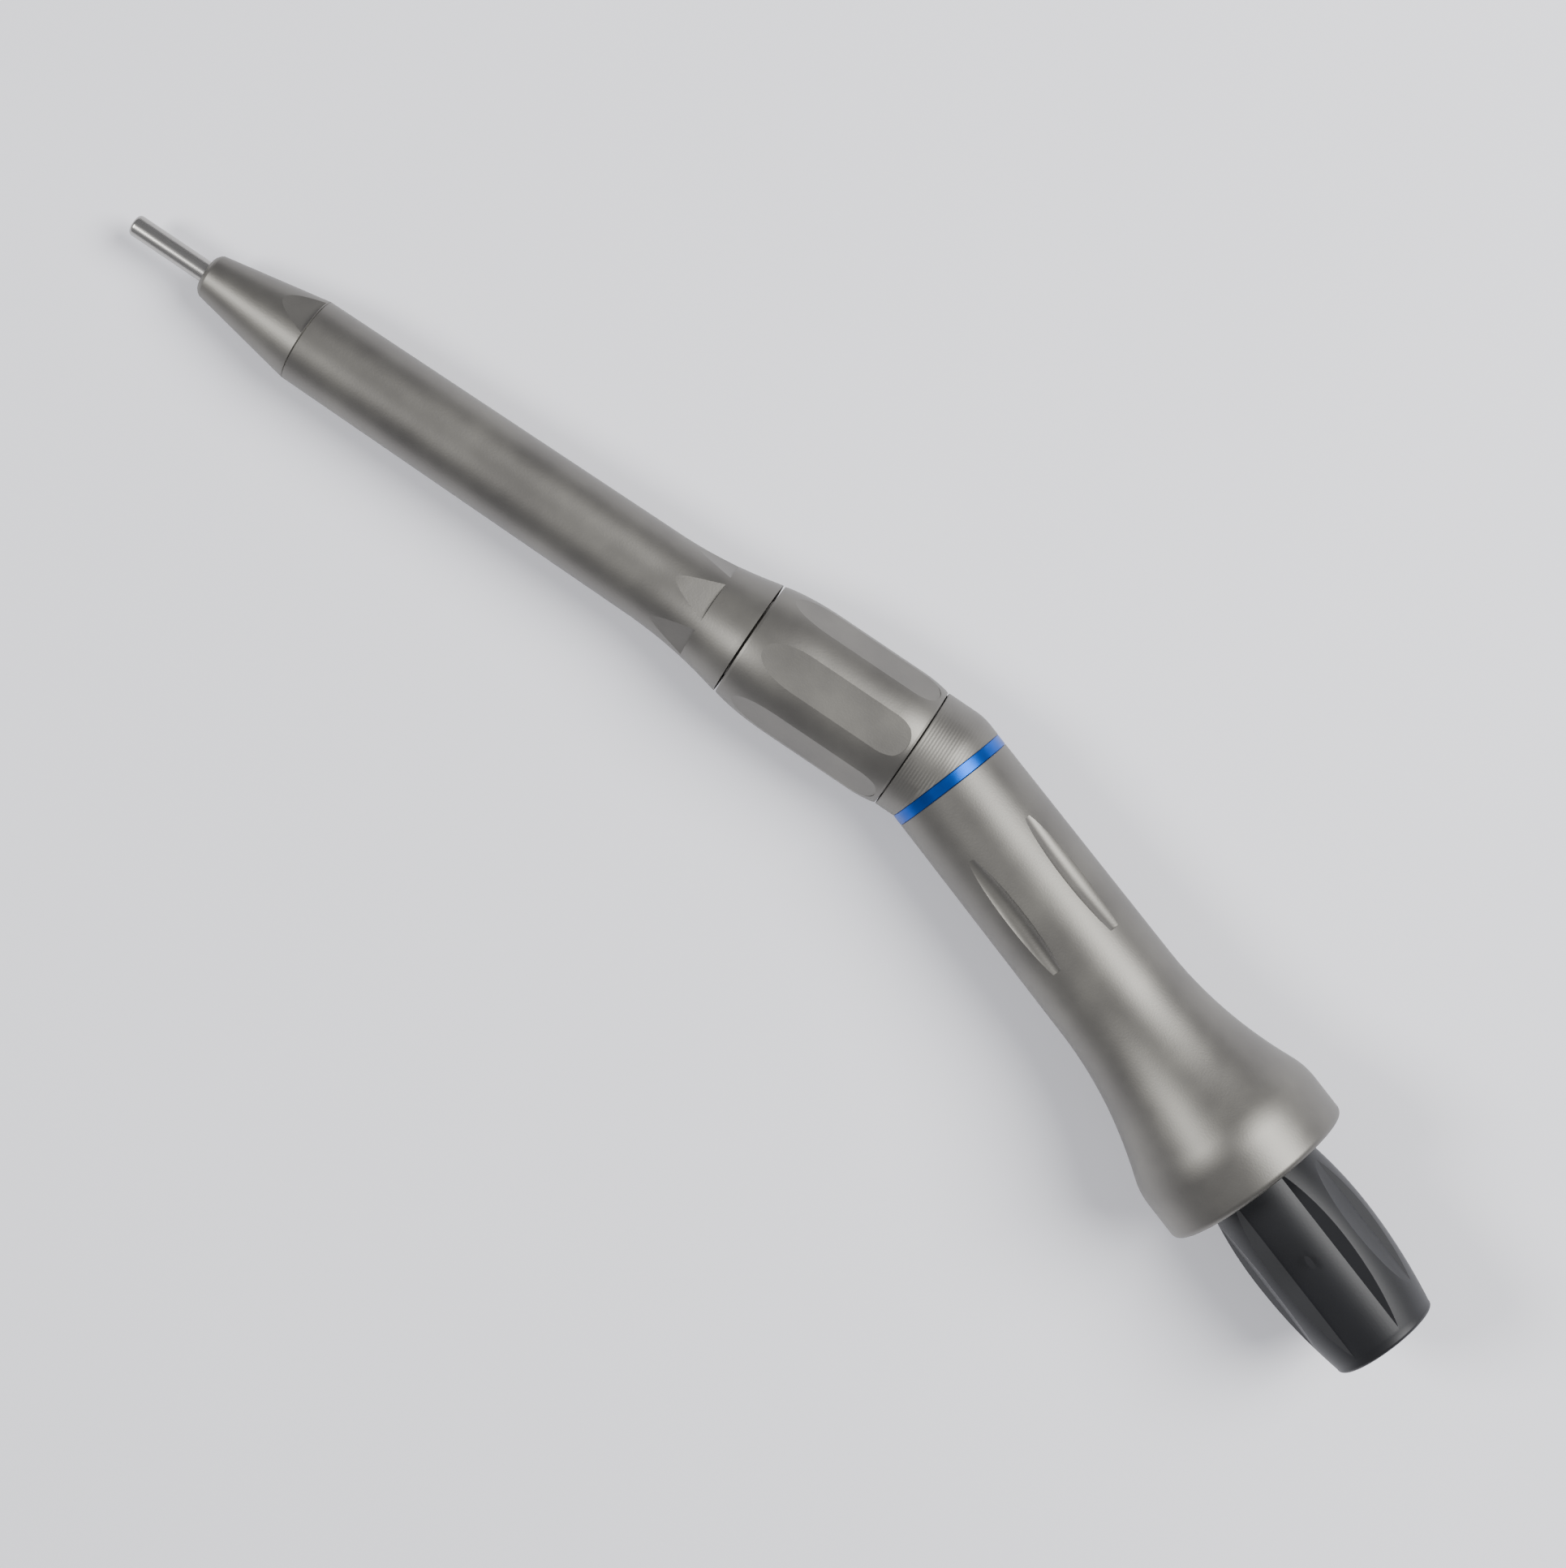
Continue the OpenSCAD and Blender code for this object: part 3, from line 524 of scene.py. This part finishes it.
def make_nose():
    """The tapered nose: a hollow cone with a stub behind it and two spanner flats."""
    bevel = 0.55
    hole_r = 1.5
    bore = 2.15
    stub_bore = 2.7
    lip = 89.6
    step = 79.9
    piece = turned_mesh("nose_cone_shell", [
        (stub_bore, nose_stub), (bearing_r, nose_stub), (bearing_r, nose_seam),
        (tube_front_r - 0.08, nose_seam), (tube_front_r, nose_seam + 0.08),
        (nose_tip_r + 0.04, nose_face - bevel - 0.15), (nose_tip_r, nose_face - bevel),
        (nose_tip_r - 0.12, nose_face - bevel + 0.2), (nose_face_r + 0.08, nose_face - 0.05),
        (nose_face_r - 0.02, nose_face), (hole_r + 0.12, nose_face), (hole_r, nose_face - 0.12),
        (hole_r, lip), (bore, lip), (bore, step), (stub_bore, step),
    ])
    half = 5.0
    cut_back = nose_seam + 0.15
    flat = [(cut_back, -half), (cut_back + half, -half), (cut_back + half, half), (cut_back, half)]
    carve(piece, [
        prism(flat, nose_flat, nose_flat + 2, turn_x(nose_flat_turn + side)) for side in (0, 180)
    ])
    finish_mesh(piece, satin, 8)
    mount(piece, front, "housing", "satin_steel", "nose_cone")


def make_front_tube():
    """The slim front tube: its flare has six spanner flats, its bore a circlip groove."""
    clip_back = 45.2
    clip_front = 46.0
    clip_r = 4.3
    flare = curve(36, lambda t: (
        tube_rear_r + (flare_r - tube_rear_r) * t * t, flare_start + (tube_back - flare_start) * t
    ))
    piece = turned_mesh("front_tube_shell", [
        (bearing_r, nose_seam), (tube_front_r - 0.08, nose_seam),
        (tube_front_r, nose_seam - 0.08), *flare[:-1],
        (flare_r - 0.03, tube_back + 0.03), (flare_r - 0.06, tube_back),
        (thread_r, tube_back), (thread_r, spigot_end), (bearing_r, spigot_end),
        (bearing_r, clip_back), (clip_r, clip_back), (clip_r, clip_front),
        (bearing_r, clip_front),
    ])
    half = 7.0
    flat = [(flare_shoulder, -half), (flare_start, -half), (flare_start, half), (flare_shoulder, half)]
    for i in range(6):
        carve(piece, [prism(flat, flare_flat, flare_flat + 3, turn_x(flare_flat_turn + 60 * i))])
    finish_mesh(piece, satin, 8)
    mount(piece, front, "housing", "satin_steel", "front_tube")


def stadium(from_x, to_x, half, steps=24):
    """A long round-ended outline along X."""
    ends = []
    for centre, start in ((to_x, -90), (from_x, 90)):
        for i in range(steps + 1):
            a = math.radians(start + 180 * i / steps)
            ends.append((centre + half * math.cos(a), half * math.sin(a)))
    return ends


def make_lock_ring():
    """The turning ring: six long finger flats outside, a bore for the cam and a ball track."""
    nose = curve(24, lambda t: (
        ring_r - (ring_r - flare_r) * t ** 2.4,
        ring_nose_start + (ring_front - ring_nose_start) * t,
    ))
    tail = curve(14, lambda t: (
        ring_r - (ring_r - ring_tail_r) * (1 - t) ** 2,
        ring_rear + (ring_tail_start - ring_rear) * t,
    ))
    track_r = 0.45
    track_at = 6.2
    track_deep = 3.2 + track_r
    piece = turned_mesh("lock_ring_shell", [
        (ring_tail_r - 0.05, ring_rear), *tail[1:], *nose[:-1], (flare_r - 0.04, ring_front),
        (cam_r, ring_front), (cam_r, cam_back), (spigot_r + 0.05, cam_back),
        (spigot_r + 0.05, ring_rear), (track_at - track_r, ring_rear),
        (track_at - track_r / 2, track_deep), (track_at + track_r / 2, track_deep),
        (track_at + track_r, ring_rear),
    ])
    outline = stadium(
        ring_rear + 0.5 + ring_finger_half, ring_front - 0.8 - ring_finger_half, ring_finger_half
    )
    for i in range(6):
        carve(piece, [prism(outline, ring_flat, ring_r + 1, turn_x(ring_turn + 60 * i))])
    finish_mesh(piece, satin, 6)
    mount(piece, front, "lock_ring", "satin_steel", "lock_ring")


def make_pin():
    """The dummy shank: a plain rod with a rounded tip."""
    bevel = 0.45
    piece = turned_mesh("test_pin_rod", [
        (0, pin_back), (pin_r, pin_back), (pin_r, pin_tip - bevel),
        *quarter_round(5, pin_r, pin_tip, bevel),
        (0, pin_tip),
    ], 64)
    finish_mesh(piece, polished, 30)
    mount(piece, front, "test_pin", "polished_steel", "test_pin")


# ---------- rear axis ----------

def make_colour_ring():
    """The blue band between the bend and the sheath."""
    bevel = 0.06
    piece = turned_mesh("colour_ring_band", [
        (spigot_r, colour_front), (sheath_r - bevel, colour_front), (sheath_r, colour_front + bevel),
        (sheath_r, sheath_front - bevel), (sheath_r - bevel, sheath_front), (spigot_r, sheath_front),
    ])
    finish_mesh(piece, blue, 30)
    mount(piece, rear, "housing", "blue_anodised", "colour_ring")


def make_housing():
    """The bent body: a spigot with seal grooves on each arm and a bore round the bend."""
    gear_bore = 3.9
    seat = 4.6
    rear_end = 20.0
    bevel = 0.06
    rows = [
        circle(elbow_r - bevel, shoulder, ring_segments),
        circle(elbow_r, shoulder - bevel, ring_segments),
        *corner_rows(elbow_r),
        rear_row(elbow_r, colour_front - bevel), rear_row(elbow_r - bevel, colour_front),
        rear_row(spigot_r, colour_front), rear_row(spigot_r, seal_at), rear_row(seal_groove_r, seal_at),
        rear_row(seal_groove_r, seal_at + seal_slot), rear_row(spigot_r, seal_at + seal_slot),
        rear_row(spigot_r, rear_end),
        rear_row(bearing_r, rear_end), rear_row(bearing_r, seat), rear_row(gear_bore, seat),
        *reversed(corner_rows(gear_bore)),
    ]
    front_rows = [
        (gear_bore, seat), (bearing_r, seat), (bearing_r, spigot_end), (thread_r, spigot_end),
        (thread_r, ring_front), (spigot_r, ring_front),
        (spigot_r, ring_seal_front + seal_slot), (seal_groove_r, ring_seal_front + seal_slot),
        (seal_groove_r, ring_seal_front), (spigot_r, ring_seal_front),
        (spigot_r, ring_seal_rear + seal_slot), (seal_groove_r, ring_seal_rear + seal_slot),
        (seal_groove_r, ring_seal_rear), (spigot_r, ring_seal_rear), (spigot_r, shoulder),
    ]
    piece = skin(
        "bend_housing_body", rows + [circle(r, s, ring_segments) for r, s in front_rows]
    )
    slot_half = 0.65
    slot = stadium(13 + slot_half, 13.8 + slot_half, slot_half)
    for side in (0, 180):
        carve(piece, [prism(slot, gear_bore - 0.5, spigot_r + 0.5, turn_x(side))])
    finish_mesh(piece, satin_turned, 8)
    mount(piece, front, "housing", "satin_steel", "elbow_housing")


def scoop(from_x, to_x, half, depth, turn):
    """A cutter: the barrel that mills a shallow lens-shaped grip groove into the sheath."""
    cutter_r = (half * half + depth * depth) / (2 * depth)
    barrel = curve(24, lambda t: (
        cutter_r - depth * (2 * t - 1) ** 2, from_x + (to_x - from_x) * t
    ))
    cutter = turned_mesh("cutter", [(0, from_x), *barrel, (0, to_x)], 64)
    offset = Vector((0, 0, (sheath_r - depth + cutter_r) * MM))
    cutter.data.transform(turn_x(turn) @ Matrix.Translation(offset))
    return cutter


def make_sheath():
    """The grip: a long sheath that opens into a bell, with four finger grooves."""
    slope = math.atan(2 * bell_k * (bell_turn - bell_start))
    turn_r = bell_neck_r + bell_k * (bell_turn - bell_start) ** 2
    arc_r = (bell_r - turn_r) / (1 - math.cos(slope))
    band = bell_turn + arc_r * math.sin(slope)
    bell = curve(40, lambda t: (
        bell_neck_r + bell_k * ((bell_turn - bell_start) * t) ** 2,
        bell_start + (bell_turn - bell_start) * t,
    ))
    crown = curve(12, lambda t: (
        bell_r - arc_r * (1 - math.cos(slope * (1 - t))), band - arc_r * math.sin(slope * (1 - t))
    ))
    rim = quarter_round(12, bell_r, bell_rim, rim_round)
    piece = turned_mesh("grip_sheath_shell", [
        (spigot_r, sheath_front), (sheath_r - 0.08, sheath_front), (sheath_r, sheath_front + 0.08),
        *bell, *crown[1:], *rim, (lead_in_r, bell_rim), (mouth_r, lead_in), (mouth_r, liner_back),
        (liner_r, liner_back), (liner_r, liner_front), (spigot_r, liner_front),
    ])
    for half in (0, 180):
        for side in (-groove_spread, groove_spread):
            turn = groove_turn + half + side
            carve(piece, [scoop(groove_front, groove_back, groove_half, groove_deep, turn)])
    finish_mesh(piece, satin, 8)
    mount(piece, rear, "housing", "satin_steel", "grip_sheath")


def make_cap():
    """The plug in the socket: a barrel with lengthwise hollows on a round stem."""
    stem_r = 6.4
    front_r = 6.23
    end_r = 5.95
    end_round = 0.45
    groove_r = stem_r - 0.75
    stem_front = 44.0
    groove_at = 46.5
    stem_back = 53.1
    barrel_front = 53.7
    swell_front = 54.1
    swell_back = 74.6
    wide = curve(24, lambda t: (
        cap_r - (cap_r - front_r) * (1 - t) ** 2, swell_front + (cap_wide_at - swell_front) * t
    ))
    fall = curve(24, lambda t: (
        cap_r - (cap_r - end_r) * t * t, cap_wide_at + (swell_back - cap_wide_at) * t
    ))
    end = quarter_round(6, end_r, cap_end, end_round)
    piece = turned_mesh("transport_cap_body", [
        (0, stem_front), (stem_r - 0.4, stem_front), (stem_r, stem_front + 0.6),
        (stem_r, groove_at), (groove_r, groove_at), (groove_r, groove_at + seal_slot),
        (stem_r, groove_at + seal_slot), (stem_r, stem_back),
        (front_r - 0.1, barrel_front - 0.1), (front_r, barrel_front),
        *wide, *fall[1:], *end, (0, cap_end),
    ])
    out = 9.0
    floor_r = 6.1
    floor_half = 27
    floor = curve(16, lambda t: (floor_r, floor_half * (2 * t - 1)))
    # Outlines of the hollows, as distance from the axis and angle round it
    wide_hollow = [(out, -38), (7.2, -38), *floor, (7.2, 38), (out, 38)]
    side_hollow = [(7.25, 45), (6.5, 72), (7.25, 82), (out, 82), (out, 62), (out, 45)]
    hollows = [wide_hollow, side_hollow, [(r, -a) for r, a in side_hollow]]
    lengthwise = Matrix(((0, 0, 1, 0), (1, 0, 0, 0), (0, 1, 0, 0), (0, 0, 0, 1)))
    for half in (0, 180):
        for hollow in hollows:
            outline = [
                (r * math.sin(math.radians(a)), r * math.cos(math.radians(a))) for r, a in hollow
            ]
            place = turn_x(cap_turn + half) @ lengthwise
            carve(piece, [prism(outline, barrel_front - 0.05, cap_end + 1, place)])
    finish_mesh(piece, black, 14)
    mount(piece, rear, "transport_cap", "black_plastic", "transport_cap")


# ---------- finishes of the pieces that stay as they are ----------

slot_finish = {
    "satin_steel": satin_turned,
    "polished_steel": polished,
    "bearing_steel": ground,
    "spring_steel": wire_steel,
    "blue_anodised": blue,
    "black_plastic": black,
    "rubber_seal": nitrile,
    "silicone_seal": silicone,
    "bronze": bronze_metal,
    "cage_resin": resin,
}
gears = ("spindle_gear", "drive_gear", "drive_dog")


def finish_frame_nodes():
    """Gives every node of the frame the finish of its slot."""
    for part in frame["record"]["subparts"]:
        node = frame["nodes"][part["node"]]
        finish = hardened if part["node"] in gears else slot_finish[part["material_slot"]]
        node.data.materials.clear()
        node.data.materials.append(finish)


# The lock ring lies on one of its flats: its turn is worked out from where up is
up_in_front = front.to_3x3().inverted() @ Vector((0, 0, 1))
ring_turn = math.degrees(math.atan2(-up_in_front.y, up_in_front.z)) + 2.5

finish_frame_nodes()
make_nose()
make_front_tube()
make_lock_ring()
make_pin()
make_housing()
make_colour_ring()
make_sheath()
make_cap()

# ---------- floor, light and camera ----------

camera_distance = 0.376
frame_width = 0.1622
nose_bearing = math.radians(-146.01)    # from the nose's way to the right of the view
view_centre = (-0.01613, -0.00185)      # middle of the view from the bend, right and up


def make_floor():
    """A pale, matt table top."""
    size = 1.2
    material, tree, shader = new_material("matt_painted_board", IOR=1.45, Roughness=0.75)
    place = add(tree, "TexCoord").outputs["Object"]
    cloud = add(tree, "TexNoise", {"Vector": place, "Scale": per(60), "Detail": 3.0})
    tint = ramp(tree, cloud.outputs["Fac"], [(0.3, "f2f2f7"), (0.7, "f5f5fa")])
    tree.links.new(tint, shader.inputs["Base Color"])
    work = bmesh.new()
    bmesh.ops.create_grid(work, x_segments=4, y_segments=4, size=size)
    mesh = bpy.data.meshes.new("floor")
    work.to_mesh(mesh)
    work.free()
    mesh.materials.append(material)
    floor = bpy.data.objects.new("floor", mesh)
    bpy.context.scene.collection.objects.link(floor)
    floor.location.z = cad_box[0][2]


def aim(thing, target):
    """Turns a light or camera to look at a point."""
    thing.rotation_euler = (Vector(target) - thing.location).to_track_quat("-Z", "Y").to_euler()


def make_light(name, place, size, watts):
    """A round soft light that looks at the middle of the object."""
    data = bpy.data.lights.new(name, "AREA")
    data.shape = "DISK"
    data.size = size
    data.energy = watts
    light = bpy.data.objects.new(name, data)
    bpy.context.scene.collection.objects.link(light)
    light.location = place
    aim(light, (0, 0, 0))


def make_camera():
    """Square on to the plane of the two axes, turned so that the nose points up and left."""
    data = bpy.data.cameras.new("camera")
    data.sensor_fit = "HORIZONTAL"
    data.angle = 2 * math.atan(frame_width / 2 / camera_distance)
    data.clip_start = 0.01
    camera = bpy.data.objects.new("camera", data)
    bpy.context.scene.collection.objects.link(camera)
    place = Matrix.Translation((*view_centre, camera_distance))
    camera.matrix_world = front @ Matrix.Rotation(nose_bearing, 4, "Z") @ place
    bpy.context.scene.camera = camera


make_floor()
make_light("window_light", (-0.260, -0.330, 0.50), 0.42, 6.0)
make_light("side_light", (0.857, 0.41, 1.0), 0.50, 12.0)
world = bpy.data.worlds.new("soft_room")
bpy.context.scene.world = world
world.use_nodes = True
world.node_tree.nodes["Background"].inputs["Color"].default_value = colour("b9bac0")
world.node_tree.nodes["Background"].inputs["Strength"].default_value = 0.7
make_camera()
